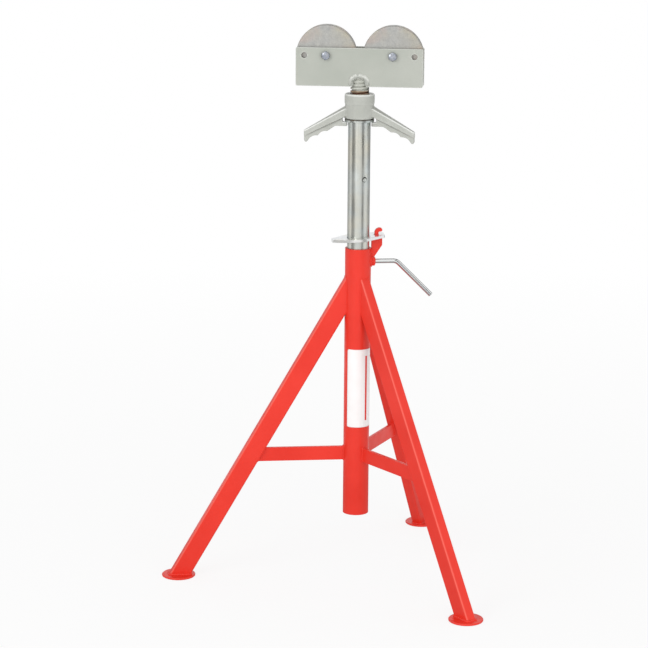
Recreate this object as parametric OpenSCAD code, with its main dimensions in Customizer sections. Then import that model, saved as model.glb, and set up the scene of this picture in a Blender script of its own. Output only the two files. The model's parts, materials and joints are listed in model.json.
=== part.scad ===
// Pipe roller support: a twin-roller head on a screw jack, carried by a telescopic mast
// in a welded tripod. Millimetres, +Z up, origin on the floor under the mast's axis,
// +X along the roller head and -Y towards its bolt heads.

/* [Tripod] */
// Outside diameter of the mast tube
mast_od = 48.3; // [44:0.1:60]
// Wall of the mast tube
mast_wall = 3.2; // [2.5:0.1:4.5]
// Height of the mast's lower end above the floor
mast_base = 118; // [90:1:150]
// Length of the mast tube
mast_len = 510; // [460:1:600]
// Radius of the circle on which the leg axes meet the floor
stance_r = 336; // [290:1:400]
// Drop from the mast's top to where a leg's axis meets the mast
leg_drop = 91; // [85:1:130]
// Depth of the leg tube, in its own upright plane
leg_d = 35; // [28:0.5:42]
// Width of the leg tube
leg_w = 20; // [16:0.5:28]
// Wall of the leg tube
leg_wall = 2; // [1.5:0.1:3]
// Outside corner radius of the leg tube
leg_corner = 3; // [2.2:0.1:5]
// Height of the brace bars' middle above the floor
brace_z = 235; // [190:1:300]
// Height of a brace bar
brace_h = 26; // [20:0.5:34]
// Thickness of a brace bar
brace_t = 6; // [4:0.5:10]
// Diameter of a foot disc
foot_d = 63; // [56:1:90]
// Thickness of a foot disc
foot_t = 4; // [3:0.5:8]
// Turn of the tripod under the roller head, in degrees
tripod_turn = 12; // [0:1:60]

/* [Height lock] */
// Thickness of the canting lock ring
ring_t = 5; // [3:0.1:6]
// Width of the ring's rim round the extension tube
ring_rim = 14; // [10:0.5:18]
// Cant of the ring when it grips, in degrees
ring_cant = 5.5; // [3:0.5:8]
// Height of the ring's middle above the mast's top
ring_rise = 18.7; // [12:0.1:22]
// Reach of the ring's thumb tab from the mast's axis
tab_reach = 49.5; // [46:0.5:70]
// Width of the thumb tab
tab_w = 22; // [18:0.5:34]
// Width of the hooked ear
ear_w = 34; // [24:0.5:44]
// Corner radius of the tab and the ear
tab_corner = 6; // [3:0.5:9]
// Thickness of the hook plate
hook_t = 6; // [4:0.5:10]
// Reach of the hook plate from the mast's surface
hook_reach = 20.3; // [20:0.1:28]
// Length of the hook plate's weld below the mast's top
hook_drop = 17; // [14:0.5:26]
// Height above the mast's top at which the hook plate starts to narrow
hook_knee = 5; // [0:0.5:8]
// Foot width of the hook plate at its lower end
hook_foot = 5.5; // [4:0.5:10]
// Width of the hook's bar
hook_bar = 7.2; // [5:0.1:8]
// Inside radius of the hook
hook_r = 2; // [1.5:0.1:5]
// Width across flats of the clamp nut
lock_af = 16; // [14:0.5:20]
// Thickness of the clamp nut
lock_nut_h = 8; // [7:0.5:14]
// Diameter of the clamp nut's turned outer face
lock_face = 11.5; // [11:0.5:14]
// Diameter of the bent clamp rod
rod_d = 9; // [7:0.5:10]
// Straight length of the clamp rod outside its nut
rod_straight = 33; // [20:1:60]
// Bend of the clamp rod, in degrees
rod_bend = 45; // [20:1:70]
// Bend radius of the clamp rod at its middle
rod_bend_r = 15; // [10:1:30]
// Length of the clamp rod's sloping handle
rod_arm = 86; // [50:1:110]

/* [Extension tube] */
// Wall of the extension tube
tube_wall = 3; // [2.5:0.1:4]
// Length of the extension tube
tube_len = 640; // [560:1:680]
// Length of the extension tube above the mast as stored
tube_out = 238.7; // [200:0.1:300]
// Diameter of the drain hole in the extension tube
drain_d = 10; // [6:0.5:14]
// Drop of the drain hole below the tube's top
drain_drop = 108.7; // [100:0.1:160]
// Direction of the drain hole round the mast, in degrees
drain_turn = -54; // [-90:1:90]

/* [Screw jack] */
// Outside diameter of the collar under the jack nut
collar_d = 54; // [50:0.5:60]
// Thickness of the collar
collar_t = 3; // [2:0.1:5]
// Thickness of the thrust washer
thrust_t = 1.6; // [1:0.1:3]
// Diameter of the nut's lower hub
hub_d = 53; // [50:0.5:60]
// Diameter of the nut's upper boss
boss_d = 55; // [50:0.5:62]
// Height of the whole nut body
hub_h = 46; // [42:0.5:60]
// Height of the upper boss
boss_h = 19; // [12:0.5:22]
// Chamfer of the nut body's edges
hub_edge = 1.5; // [0.5:0.1:2]
// Reach of a wing's tip from the axis
wing_reach = 102; // [90:1:130]
// Width of a wing's top flange at the hub
wing_w = 27; // [22:0.5:30]
// Width of a wing's top flange at its tip
wing_tip_w = 15; // [12:0.5:20]
// Corner radius of a wing's tip, seen from above
wing_tip_r = 4; // [2:0.5:6]
// Height of a wing's crest where it leaves the hub
wing_rise = 22.7; // [20:0.1:24]
// Fall of a wing's crest, in degrees
wing_fall = 31.2; // [30:0.1:36]
// Crown of a wing's top flange
wing_crown = 3.8; // [2:0.1:5]
// Height of the flange's underside where it leaves the hub
under_rise = 3.7; // [2:0.1:6]
// Fall of the flange's underside, in degrees
under_fall = 26.2; // [24:0.1:28]
// Thickness of the finger web under a wing
web_t = 12; // [6:0.5:14]
// Depth of the finger web below the flange
web_depth = 12; // [8:0.5:15]
// Depth of each finger scallop
scallop = 3.3; // [2:0.1:5]
// Distance of the first finger bump from the axis
grip_start = 59; // [54:0.5:64]
// Distance from the first finger bump to the second
grip_first = 17; // [14:0.5:20]
// Distance from the second finger bump to the end of the last scallop
grip_second = 18; // [15:0.5:22]
// Drop of the tip's nub below the last finger scallop
nub_drop = 3.5; // [2:0.1:5]
// Radius of the tip's nub
nub_r = 2.2; // [1.5:0.1:3]
// Radius of the fillet between a wing and the hub, seen from above
wing_fillet = 10; // [4:0.5:16]
// Thickness of the lug that holds the collar
lug_t = 7.8; // [5:0.1:10]
// Reach of the lug's flat underside from the axis
lug_reach = 44.5; // [40:0.5:48]
// Length of the jack screw below the head plates
screw_len = 150; // [130:1:170]
// Bare length of screw between the nut and the head as stored
head_gap = 14; // [13:0.5:40]

/* [Roller head] */
// Length of a head plate
plate_len = 232; // [215:1:280]
// Height of a head plate
plate_h = 70; // [66:0.5:90]
// Thickness of a head plate
plate_t = 5; // [4:0.5:8]
// Corner radius of a head plate
plate_corner = 3; // [1:0.5:6]
// Drop from the plate's top edge to the axle
axle_drop = 14.3; // [12:0.1:18]
// Diameter of a roller
roller_d = 110; // [90:1:110]
// Width of a roller
roller_w = 20; // [16:0.5:24]
// Chamfer of a roller's rim
roller_edge = 1.2; // [0.5:0.1:2.5]
// Gap between the two rollers
roller_gap = 12; // [8:0.1:20]
// Outside diameter of a roller's bush
bush_od = 18; // [15:0.5:24]
// Diameter of an axle bolt
bolt_d = 9.5; // [8:0.5:12]
// Width across flats of the axle bolt's head and nut
bolt_af = 14.5; // [13:0.5:21]
// Height of the axle bolt's head
bolt_head = 6.2; // [5:0.1:8]
// Height of the axle nut
axle_nut_h = 8.2; // [7:0.1:11]
// Length of bolt thread that shows past its nut
bolt_tail = 3.5; // [2:0.5:6]
// Diameter of a side washer
side_washer_d = 26; // [20:0.5:34]
// Thickness of a side washer
side_washer_t = 1.8; // [1:0.1:3]
// Diameter of the spare axle holes at the plates' ends
spare_d = 11; // [8:0.5:13]
// Distance of a spare axle hole from the plate's end
spare_inset = 15.6; // [12:0.1:20]

/* [Hidden] */
$fn = 64;

// Fits: gap left for weld metal, slack of the sliding tube and the screw, running gaps
weld_gap = 0.2;
slide_slack = 0.3;
screw_slack = 0.65;
thread_slack = 0.3;
rod_slack = 0.25;
ring_slack = 0.3;
slot_slack = 1.2;
hook_seat = 0.3;
hook_lift = 3.1;
hook_step = 5.8;
ear_bar = 9.5;
tip_inset = 0.3;
fillet_lap = 0.05;
lug_slack = 1.6;
lug_under = 1.6;
collar_room = 4;
run_gap = 0.1;
side_gap = 0.2;
axle_fit = 0.05;
press_gap = 0.02;
bolt_slack = 0.25;
notch_slack = 0.8;
notch_min = 6;
nut_gap = 0.5;
bend_swell = 0.1;
bend_lap = 0.5;
cut = 1;
far = 2000;

// Tripod, with the leg angles counted from +X
mast_r = mast_od / 2;
mast_top = mast_base + mast_len;
mast_id = mast_od - 2 * mast_wall;
leg_angles = [180, 300, 60];
leg_lean = atan2(stance_r - mast_r, mast_top - leg_drop);
leg_run = stance_r / sin(leg_lean);

// Telescopic tube and the nut's seat on it
tube_od = mast_id - 2 * slide_slack;
tube_r = tube_od / 2;
tube_top = mast_top + tube_out;
thrust_z = tube_top + run_gap;
nut_z = thrust_z + thrust_t + run_gap;
nut_top = nut_z + hub_h;
screw_r = tube_r - tube_wall - screw_slack;
bore_r = screw_r + thread_slack;

// Lock ring and hook, in the upright plane of the lock
lock_z = mast_top - hook_drop - nut_gap - lock_af / 2;
lock_x = mast_r + weld_gap;
rod_tip = tube_r + ring_slack;
ring_z = mast_top + ring_rise;
ring_hole_r = (tube_r + ring_slack + ring_t / 2 * sin(ring_cant)) / cos(ring_cant);
hook_in = mast_r + weld_gap;
hook_out = mast_r + hook_reach;
stem_in = hook_in + hook_step;
stem_out = stem_in + hook_bar;
hook_x = stem_out + hook_r;
ear_reach = stem_out + slot_slack + ear_bar;
hook_tip_angle = 72;
function ring_face(x, side) = ring_z + x * tan(ring_cant) + side * ring_t / 2 / cos(ring_cant);
hook_z = ring_face(hook_x, 1) + hook_lift;

// Roller head
plate_z = nut_top + head_gap;
plate_gap = roller_w + 2 * (side_washer_t + side_gap);
head_depth = plate_gap + 2 * plate_t;
axle_z = plate_z + plate_h - axle_drop;
axle_x = (roller_d + roller_gap) / 2;
spare_x = plate_len / 2 - spare_inset;
notch_r = sqrt(max(screw_r * screw_r - plate_gap * plate_gap / 4, notch_min * notch_min)) + notch_slack;
notch_z = 4;

// Wing outline of the jack nut: x from the axis, z from the hub's underside
hub_r = hub_d / 2;
wing_root = bore_r + 4;
wing_taper = atan2((wing_w - wing_tip_w) / 2, wing_reach - wing_tip_r - hub_r);
web_tip = wing_reach - tip_inset;
web_lap = 1;
lug_top = -(collar_t + thrust_t + 2 * run_gap + lug_under);
lug_bottom = lug_top - lug_t;
lug_r = tube_r + lug_slack;
collar_hole = collar_d / 2 + collar_room;
crown_r = (wing_w * wing_w / 4 + wing_crown * wing_crown) / (2 * wing_crown);
function crest(x) = wing_rise - (x - hub_r) * tan(wing_fall);
function under(x) = under_rise - (x - hub_r) * tan(under_fall);
function grip(x) = under(x) - web_depth;
grip_x = [grip_start, grip_start + grip_first, grip_start + grip_first + grip_second];

red = "#d8281e";
grey_green = "#b4bab0";
zinc = "#c9ccca";
bronze = "#b08d57";

// Rectangle with round corners, centred on the origin
module rounded_rect(a, b, r) {
  square([a, b - 2 * r], center = true);
  square([a - 2 * r, b], center = true);
  for (sx = [-1, 1], sy = [-1, 1])
    translate([sx * (a / 2 - r), sy * (b / 2 - r)])
      circle(r);
}

// Hexagonal nut or head along +Z, its outer face turned round to face_d
module hex_block(af, h, face_d, bore_d = 0) {
  across = af / cos(30);
  edge = (across - face_d) / 2 * tan(30);
  difference() {
    intersection() {
      rotate([0, 0, 30])
        cylinder(d = across, h = h, $fn = 6);
      rotate_extrude()
        polygon([[0, 0], [across / 2, 0], [across / 2, h - edge], [face_d / 2, h], [0, h]]);
    }
    if (bore_d > 0)
      translate([0, 0, -cut])
        cylinder(d = bore_d, h = h + 2 * cut);
  }
}

// A flat ring along +Z
module ring(od, id, h) {
  difference() {
    cylinder(d = od, h = h);
    translate([0, 0, -cut])
      cylinder(d = id, h = h + 2 * cut);
  }
}

// Turns a piece that lies along the tripod's own X to its place round the mast
module on_tripod(angle = 0) {
  rotate([0, 0, tripod_turn + angle])
    children();
}

// Moves an upright outline drawn as x, z to stand across Y, with thickness t
module upright(t) {
  translate([0, t / 2, 0])
    rotate([90, 0, 0])
      linear_extrude(height = t)
        children();
}

// Tripod

module mast_tube() {
  color(red)
    difference() {
      translate([0, 0, mast_base])
        cylinder(d = mast_od, h = mast_len);
      translate([0, 0, mast_base - cut])
        cylinder(d = mast_id, h = mast_len + 2 * cut);
      on_tripod()
        translate([0, 0, lock_z])
          rotate([0, 90, 0])
            cylinder(d = rod_d + 2 * rod_slack, h = mast_od);
    }
}

// Room taken by the mast's outside, with the weld gap
module mast_room() {
  translate([0, 0, -cut])
    cylinder(r = mast_r + weld_gap, h = mast_top + 2 * cut);
}

// A leg tube leans in to the mast, where it is coped, and is cut level on its foot
module leg(angle) {
  color(red)
    on_tripod(angle)
      difference() {
        translate([stance_r, 0, 0])
          rotate([0, -leg_lean, 0])
            translate([0, 0, -leg_d])
              linear_extrude(height = leg_run + leg_d)
                difference() {
                  rounded_rect(leg_d, leg_w, leg_corner);
                  rounded_rect(leg_d - 2 * leg_wall, leg_w - 2 * leg_wall, leg_corner - leg_wall);
                }
        mast_room();
        translate([0, -leg_d, foot_t - far])
          cube([far, 2 * leg_d, far]);
      }
}

module leg_left() { leg(leg_angles[0]); }
module leg_front() { leg(leg_angles[1]); }
module leg_rear() { leg(leg_angles[2]); }

// A brace bar runs level from the mast to the leg's inner face
module brace(angle) {
  color(red)
    on_tripod(angle)
      difference() {
        translate([0, -brace_t / 2, brace_z - brace_h / 2])
          cube([stance_r, brace_t, brace_h]);
        mast_room();
        translate([stance_r, 0, 0])
          rotate([0, -leg_lean, 0])
            translate([-leg_d / 2 - weld_gap, -leg_w, -far / 2])
              cube([far, 2 * leg_w, far]);
      }
}

module brace_left() { brace(leg_angles[0]); }
module brace_front() { brace(leg_angles[1]); }
module brace_rear() { brace(leg_angles[2]); }

// A foot is a round disc with a softened rim
module foot(angle) {
  edge = foot_t / 4;
  color(red)
    on_tripod(angle)
      translate([stance_r, 0, 0])
        rotate_extrude()
          polygon([
            [0, 0], [foot_d / 2 - edge, 0], [foot_d / 2, edge],
            [foot_d / 2, foot_t - edge], [foot_d / 2 - edge, foot_t], [0, foot_t]
          ]);
}

module foot_left() { foot(leg_angles[0]); }
module foot_front() { foot(leg_angles[1]); }
module foot_rear() { foot(leg_angles[2]); }

// Height lock

// Plate welded upright on the mast: its shoulder carries the ring, its hook holds the ring's ear
module hook_plate() {
  color(red)
    on_tripod()
      upright(hook_t) {
        polygon([
          [hook_in, mast_top - hook_drop], [hook_in + hook_foot, mast_top - hook_drop],
          [hook_out, mast_top + hook_knee], [hook_out, ring_face(hook_out, -1) - hook_seat],
          [hook_in, ring_face(hook_in, -1) - hook_seat]
        ]);
        difference() {
          union() {
            translate([stem_in, mast_top])
              square([hook_bar + hook_r, hook_z - mast_top]);
            translate([hook_x, hook_z])
              circle(hook_r + hook_bar);
          }
          translate([hook_x, hook_z]) {
            circle(hook_r);
            polygon([
              [0, 0], [-hook_r, 0], [-hook_r, ring_face(stem_out, -1) - hook_seat - hook_z],
              [far, ring_face(stem_out, -1) - hook_seat - hook_z],
              [far * cos(hook_tip_angle), far * sin(hook_tip_angle)]
            ]);
          }
        }
        translate([hook_x, hook_z])
          rotate(hook_tip_angle)
            translate([hook_r + hook_bar / 2, 0])
              circle(d = hook_bar - 2 * tip_inset);
      }
}

// Hexagonal nut welded flat on the mast, two flats level
module clamp_nut() {
  color(red)
    on_tripod()
      translate([lock_x, 0, lock_z])
        rotate([0, 90, 0])
          hex_block(lock_af, lock_nut_h, lock_face, rod_d + 2 * rod_slack);
}

// Canted plate with a round hole for the tube, a thumb tab and an ear slotted for the hook
module lock_ring() {
  color(zinc)
    on_tripod()
      translate([0, 0, ring_z])
        rotate([0, -ring_cant, 0])
          difference() {
            translate([0, 0, -ring_t / 2])
              linear_extrude(height = ring_t)
                hull() {
                  circle(ring_hole_r + ring_rim, $fn = 96);
                  for (sy = [-1, 1]) {
                    translate([tab_corner - tab_reach, sy * (tab_w / 2 - tab_corner)])
                      circle(tab_corner, $fn = 32);
                    translate([ear_reach - tab_corner, sy * (ear_w / 2 - tab_corner)])
                      circle(tab_corner, $fn = 32);
                  }
                }
            translate([0, 0, -ring_t])
              cylinder(r = ring_hole_r, h = 2 * ring_t);
            translate([stem_in - slot_slack, -hook_t / 2 - slot_slack, -ring_t])
              cube([hook_bar + 2 * slot_slack, hook_t + 2 * slot_slack, 2 * ring_t]);
          }
}

// Round rod: straight through its nut to the tube, then bent down as a handle
module clamp_rod() {
  bend_x = lock_x + lock_nut_h + rod_straight;
  color(zinc)
    on_tripod()
      translate([0, 0, lock_z]) {
        translate([rod_tip, 0, 0])
          rotate([0, 90, 0])
            cylinder(d = rod_d, h = bend_x - rod_tip + bend_lap);
        translate([bend_x, 0, -rod_bend_r])
          rotate([90, 0, 0])
            rotate([0, 0, 90 - rod_bend])
              rotate_extrude(angle = rod_bend)
                translate([rod_bend_r, 0])
                  circle(d = rod_d + bend_swell);
        translate([bend_x + rod_bend_r * sin(rod_bend), 0, rod_bend_r * (cos(rod_bend) - 1)])
          rotate([0, 90 + rod_bend, 0])
            translate([0, 0, -bend_lap])
              cylinder(d = rod_d, h = rod_arm + bend_lap);
      }
}

// Extension tube and screw jack

module extension_tube() {
  color(zinc)
    difference() {
      translate([0, 0, tube_top - tube_len])
        cylinder(d = tube_od, h = tube_len);
      translate([0, 0, tube_top - tube_len - cut])
        cylinder(d = tube_od - 2 * tube_wall, h = tube_len + 2 * cut);
      translate([0, 0, tube_top - drain_drop])
        rotate([0, 90, drain_turn])
          cylinder(d = drain_d, h = tube_od);
    }
}

// Collar welded round the tube's top end
module tube_collar() {
  color(zinc)
    translate([0, 0, tube_top - collar_t])
      ring(collar_d, tube_od + 2 * weld_gap, collar_t);
}

// Loose washer that the nut and the head turn on
module thrust_washer() {
  color(zinc)
    translate([0, 0, thrust_z])
      ring(collar_d, 2 * bore_r, thrust_t);
}

// Upright outline of a wing's web: finger scallops below, a lug that reaches under the collar
module wing_web() {
  grip_end = grip(grip_x[2]);
  nub_x = (grip_x[2] + web_tip) / 2;
  nub_z = grip_end - nub_drop + nub_r;
  nub_side = nub_r * sin(45);
  difference() {
    union() {
      polygon([
        [wing_root, under(wing_root) + web_lap], [wing_root, hub_edge], [collar_hole, hub_edge],
        [collar_hole, lug_top], [lug_r, lug_top], [lug_r, lug_bottom], [lug_reach, lug_bottom],
        [grip_x[0], grip(grip_x[0])], [grip_x[1], grip(grip_x[1])], [grip_x[2], grip_end],
        [nub_x - nub_side, nub_z - nub_side], [nub_x + nub_side, nub_z - nub_side],
        [web_tip, grip_end], [web_tip, under(web_tip) + web_lap]
      ]);
      translate([nub_x, nub_z])
        circle(nub_r);
    }
    for (i = [0, 1]) {
      chord = (grip_x[i + 1] - grip_x[i]) / cos(under_fall);
      scoop_r = (chord * chord / 4 + scallop * scallop) / (2 * scallop);
      mid_x = (grip_x[i] + grip_x[i + 1]) / 2;
      drop = scoop_r - scallop;
      translate([mid_x - drop * sin(under_fall), grip(mid_x) - drop * cos(under_fall)])
        circle(scoop_r);
    }
  }
}

// Fillet between one side of a wing and the hub, seen from above: the corner left outside a circle
// that touches both
module wing_fillet_plan() {
  edge = wing_w / 2 * cos(wing_taper) + hub_r * sin(wing_taper);
  out = edge + wing_fillet - fillet_lap;
  along = sqrt(pow(hub_r + wing_fillet - fillet_lap, 2) - out * out);
  rotate(-wing_taper)
    difference() {
      polygon([[0, 0], [along, edge - cut], [along, out]]);
      translate([along, out])
        circle(wing_fillet);
    }
}

// One wing: a crowned, tapering flange on a finger web
module wing() {
  intersection() {
    upright(web_t)
      wing_web();
    translate([(wing_root + web_tip) / 2, 0, -wing_reach])
      linear_extrude(height = 2 * wing_reach)
        rounded_rect(web_tip - wing_root, web_t, min(wing_tip_r, web_t / 3));
  }
  intersection() {
    upright(2 * wing_w)
      polygon([
        [wing_root, crest(wing_root) + cut], [wing_reach, crest(wing_reach) + cut],
        [wing_reach, under(wing_reach)], [wing_root, under(wing_root)]
      ]);
    translate([hub_r - crown_r * sin(wing_fall), 0, wing_rise - crown_r * cos(wing_fall)])
      rotate([0, 90 + wing_fall, 0])
        cylinder(r = crown_r, h = 4 * wing_reach, center = true);
    translate([0, 0, -wing_reach])
      linear_extrude(height = 2 * wing_reach) {
        hull() {
          translate([wing_root, -wing_w / 2])
            square([hub_r - wing_root, wing_w]);
          for (sy = [-1, 1])
            translate([wing_reach - wing_tip_r, sy * (wing_tip_w / 2 - wing_tip_r)])
              circle(wing_tip_r);
        }
        for (sy = [0, 1])
          mirror([0, sy])
            wing_fillet_plan();
      }
  }
}

// Cast nut: a stepped hub bored for the screw, and two drooping wings to turn it by
module jack_nut() {
  boss_r = boss_d / 2;
  step_z = hub_h - boss_h;
  color(grey_green)
    translate([0, 0, nut_z]) {
      rotate_extrude()
        polygon([
          [bore_r, 0], [hub_r - hub_edge, 0], [hub_r, hub_edge], [hub_r, step_z],
          [boss_r, step_z + hub_edge], [boss_r, hub_h - hub_edge], [boss_r - hub_edge, hub_h],
          [bore_r, hub_h]
        ]);
      for (a = [0, 180])
        rotate([0, 0, a])
          wing();
    }
}

// Jack screw: plain round at the thread's crest, with a domed upper end
module jack_screw() {
  low_edge = 2;
  color(grey_green)
    translate([0, 0, plate_z]) {
      rotate_extrude()
        polygon([
          [0, -screw_len], [screw_r - low_edge, -screw_len], [screw_r, low_edge - screw_len],
          [screw_r, notch_z], [0, notch_z]
        ]);
      translate([0, 0, notch_z])
        rotate_extrude()
          intersection() {
            circle(screw_r);
            square(screw_r);
          }
    }
}

// Roller head

// Side plate with axle holes, spare holes and an arched notch for the screw's domed end
module head_plate(side) {
  color(grey_green)
    translate([0, side * (plate_gap + plate_t) / 2, plate_z])
      upright(plate_t)
        difference() {
          translate([0, plate_h / 2])
            rounded_rect(plate_len, plate_h, plate_corner);
          for (s = [-1, 1]) {
            translate([s * axle_x, axle_z - plate_z])
              circle(d = bolt_d + 2 * bolt_slack);
            translate([s * spare_x, axle_z - plate_z])
              circle(d = spare_d);
          }
          translate([0, notch_z])
            circle(notch_r);
          translate([-notch_r, -cut])
            square([2 * notch_r, notch_z + cut]);
        }
}

module head_plate_front() { head_plate(-1); }
module head_plate_rear() { head_plate(1); }

// Puts a piece that is turned about +Z on the left or right axle, +Z turned to -Y
module on_axle(side) {
  translate([side * axle_x, 0, axle_z])
    rotate([90, 0, 0])
      children();
}

// Turned steel roller, bored for its bush
module roller(side) {
  r = roller_d / 2;
  h = roller_w / 2;
  bush_r = bush_od / 2 + press_gap;
  color(zinc)
    on_axle(side)
      rotate_extrude($fn = 128)
        polygon([
          [bush_r, -h], [r - roller_edge, -h], [r, roller_edge - h],
          [r, h - roller_edge], [r - roller_edge, h], [bush_r, h]
        ]);
}

module roller_left() { roller(-1); }
module roller_right() { roller(1); }

// Bronze bush in the roller, running on the bolt
module bush(side) {
  color(bronze)
    on_axle(side)
      translate([0, 0, -roller_w / 2])
        ring(bush_od, bolt_d + 2 * axle_fit, roller_w);
}

module bush_left() { bush(-1); }
module bush_right() { bush(1); }

// Hexagon-headed axle bolt, its head on the front plate
module axle_bolt(side) {
  grip_len = head_depth + axle_nut_h + bolt_tail;
  color(zinc)
    on_axle(side)
      translate([0, 0, head_depth / 2]) {
        translate([0, 0, -grip_len])
          cylinder(d = bolt_d, h = grip_len);
        hex_block(bolt_af, bolt_head, bolt_af);
      }
}

module axle_bolt_left() { axle_bolt(-1); }
module axle_bolt_right() { axle_bolt(1); }

// Nut on the rear plate
module axle_nut(side) {
  color(zinc)
    on_axle(side)
      translate([0, 0, -head_depth / 2])
        mirror([0, 0, 1])
          hex_block(bolt_af, axle_nut_h, bolt_af, bolt_d + 2 * axle_fit);
}

module axle_nut_left() { axle_nut(-1); }
module axle_nut_right() { axle_nut(1); }

// Pair of washers that keep the roller clear of the plates
module side_washers(side) {
  color(zinc)
    on_axle(side) {
      translate([0, 0, plate_gap / 2 - side_washer_t])
        ring(side_washer_d, bolt_d + 2 * bolt_slack, side_washer_t);
      translate([0, 0, -plate_gap / 2])
        ring(side_washer_d, bolt_d + 2 * bolt_slack, side_washer_t);
    }
}

module side_washers_left() { side_washers(-1); }
module side_washers_right() { side_washers(1); }

mast_tube();
leg_left();
leg_front();
leg_rear();
brace_left();
brace_front();
brace_rear();
foot_left();
foot_front();
foot_rear();
hook_plate();
clamp_nut();
lock_ring();
clamp_rod();
extension_tube();
tube_collar();
thrust_washer();
jack_nut();
jack_screw();
head_plate_front();
head_plate_rear();
roller_left();
roller_right();
bush_left();
bush_right();
axle_bolt_left();
axle_bolt_right();
axle_nut_left();
axle_nut_right();
side_washers_left();
side_washers_right();
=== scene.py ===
import json
from math import atan2, cos, hypot, pi, radians, sin

import bmesh
import bpy
import numpy as np
from mathutils import Matrix, Vector


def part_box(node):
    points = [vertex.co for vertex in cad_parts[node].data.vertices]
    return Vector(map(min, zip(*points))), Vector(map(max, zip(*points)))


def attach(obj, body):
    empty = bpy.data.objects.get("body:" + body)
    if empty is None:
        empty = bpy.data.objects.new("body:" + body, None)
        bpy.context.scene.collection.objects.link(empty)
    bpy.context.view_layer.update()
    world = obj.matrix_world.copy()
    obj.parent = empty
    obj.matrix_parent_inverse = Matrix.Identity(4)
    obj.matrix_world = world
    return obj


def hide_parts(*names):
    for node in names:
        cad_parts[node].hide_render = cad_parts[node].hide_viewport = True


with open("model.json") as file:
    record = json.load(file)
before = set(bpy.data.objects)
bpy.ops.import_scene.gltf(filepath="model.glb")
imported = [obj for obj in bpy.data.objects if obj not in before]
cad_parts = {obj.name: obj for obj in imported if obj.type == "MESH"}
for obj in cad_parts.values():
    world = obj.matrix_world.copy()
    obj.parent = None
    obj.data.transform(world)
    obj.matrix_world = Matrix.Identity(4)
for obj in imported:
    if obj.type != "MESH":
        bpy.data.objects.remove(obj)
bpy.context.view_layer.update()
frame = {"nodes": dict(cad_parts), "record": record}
nodes = frame["nodes"]

# Tripod: mast, legs, braces, feet, hook plate and clamp nut
# One weldment of steel tube, flat bar and cut plate, sprayed with glossy red enamel. The coat has a fine
# orange peel and a patchy haze, is thin and paler on sharp edges, where a highlight is also painted, and
# has a painted highlight along the legs' outer corners.

FLOAT, VECTOR = "NodeSocketFloat", "NodeSocketVector"


def feed(tree, socket, value):
    """Gives an input socket either a link from another socket or a plain value."""
    if isinstance(value, bpy.types.NodeSocket):
        tree.links.new(value, socket)
    else:
        socket.default_value = value


def add_node(tree, kind, **sockets):
    """A shader node with links or plain values on its inputs, an underscore standing for a space."""
    made = tree.nodes.new(kind)
    for name, value in sockets.items():
        feed(tree, made.inputs[name.replace("_", " ")], value)
    return made


def calc(tree, operation, *values):
    """The output of a Math node that works on sockets or plain numbers."""
    made = tree.nodes.new("ShaderNodeMath")
    made.operation = operation
    for socket, value in zip(made.inputs, values):
        feed(tree, socket, value)
    return made.outputs[0]


def measure(tree, operation, *vectors):
    """The number that a Vector Math node gives: one vector's length or the dot product of two."""
    made = tree.nodes.new("ShaderNodeVectorMath")
    made.operation = operation
    for socket, value in zip(made.inputs, vectors):
        feed(tree, socket, value)
    return made.outputs["Value"]


def spread(tree, value, low, high, to_low=0.0, to_high=1.0):
    """Maps low..high to to_low..to_high, held at both ends."""
    made = add_node(
        tree, "ShaderNodeMapRange", Value=value,
        From_Min=low, From_Max=high, To_Min=to_low, To_Max=to_high,
    )
    return made.outputs[0]


def blend_colour(tree, share, first, second):
    """A colour between first and second, share of the way."""
    made = tree.nodes.new("ShaderNodeMix")
    made.data_type = "RGBA"
    for number, value in ((0, share), (6, first), (7, second)):
        feed(tree, made.inputs[number], value)
    return made.outputs[2]


def object_place(tree):
    """Where a point of the surface lies in its piece's own frame."""
    return tree.nodes.new("ShaderNodeTexCoord").outputs["Object"]


def noise(tree, vector, scale, detail=2.0, roughness=0.5):
    """The value of a noise texture read at a vector."""
    made = add_node(
        tree, "ShaderNodeTexNoise", Vector=vector, Scale=scale, Detail=detail, Roughness=roughness
    )
    return made.outputs[0]


def bump(tree, height, strength, distance, normal):
    """A surface normal raised by a height, on top of another normal."""
    made = add_node(
        tree, "ShaderNodeBump", Height=height, Strength=strength, Distance=distance, Normal=normal
    )
    return made.outputs[0]


def new_group(name, inputs, outputs):
    """An empty shader group with float inputs {name: value} and outputs {name: socket type}."""
    tree = bpy.data.node_groups.new(name, "ShaderNodeTree")
    for label, value in inputs.items():
        made = tree.interface.new_socket(label, in_out="INPUT", socket_type=FLOAT)
        made.default_value = value
    for label, kind in outputs.items():
        tree.interface.new_socket(label, in_out="OUTPUT", socket_type=kind)
    return tree, tree.nodes.new("NodeGroupInput").outputs, tree.nodes.new("NodeGroupOutput").inputs


def use_group(tree, group, **values):
    """Places a group in a material with its own values and returns its outputs."""
    made = tree.nodes.new("ShaderNodeGroup")
    made.node_tree = group
    for name, value in values.items():
        made.inputs[name].default_value = value
    return made.outputs


def empty_material(name):
    """A material whose node tree is still empty."""
    made = bpy.data.materials.new(name)
    made.use_nodes = True
    made.node_tree.nodes.clear()
    return made, made.node_tree


def put_out(tree, shader):
    """Links a shader to a new material output."""
    tree.links.new(shader.outputs[0], tree.nodes.new("ShaderNodeOutputMaterial").inputs[0])


def new_material(name, **sockets):
    """A material with one Principled shader, whose plain sockets are set by name."""
    made, tree = empty_material(name)
    shader = add_node(tree, "ShaderNodeBsdfPrincipled", **sockets)
    put_out(tree, shader)
    return made, tree, shader.inputs


def link_surface(tree, shader, tone, haze, gloss, normal):
    """Gives a shader its tone, a haze that runs between two roughnesses, and its normal."""
    tree.links.new(tone, shader["Base Color"])
    tree.links.new(spread(tree, haze, 0.0, 1.0, *gloss), shader["Roughness"])
    tree.links.new(normal, shader["Normal"])


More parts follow.
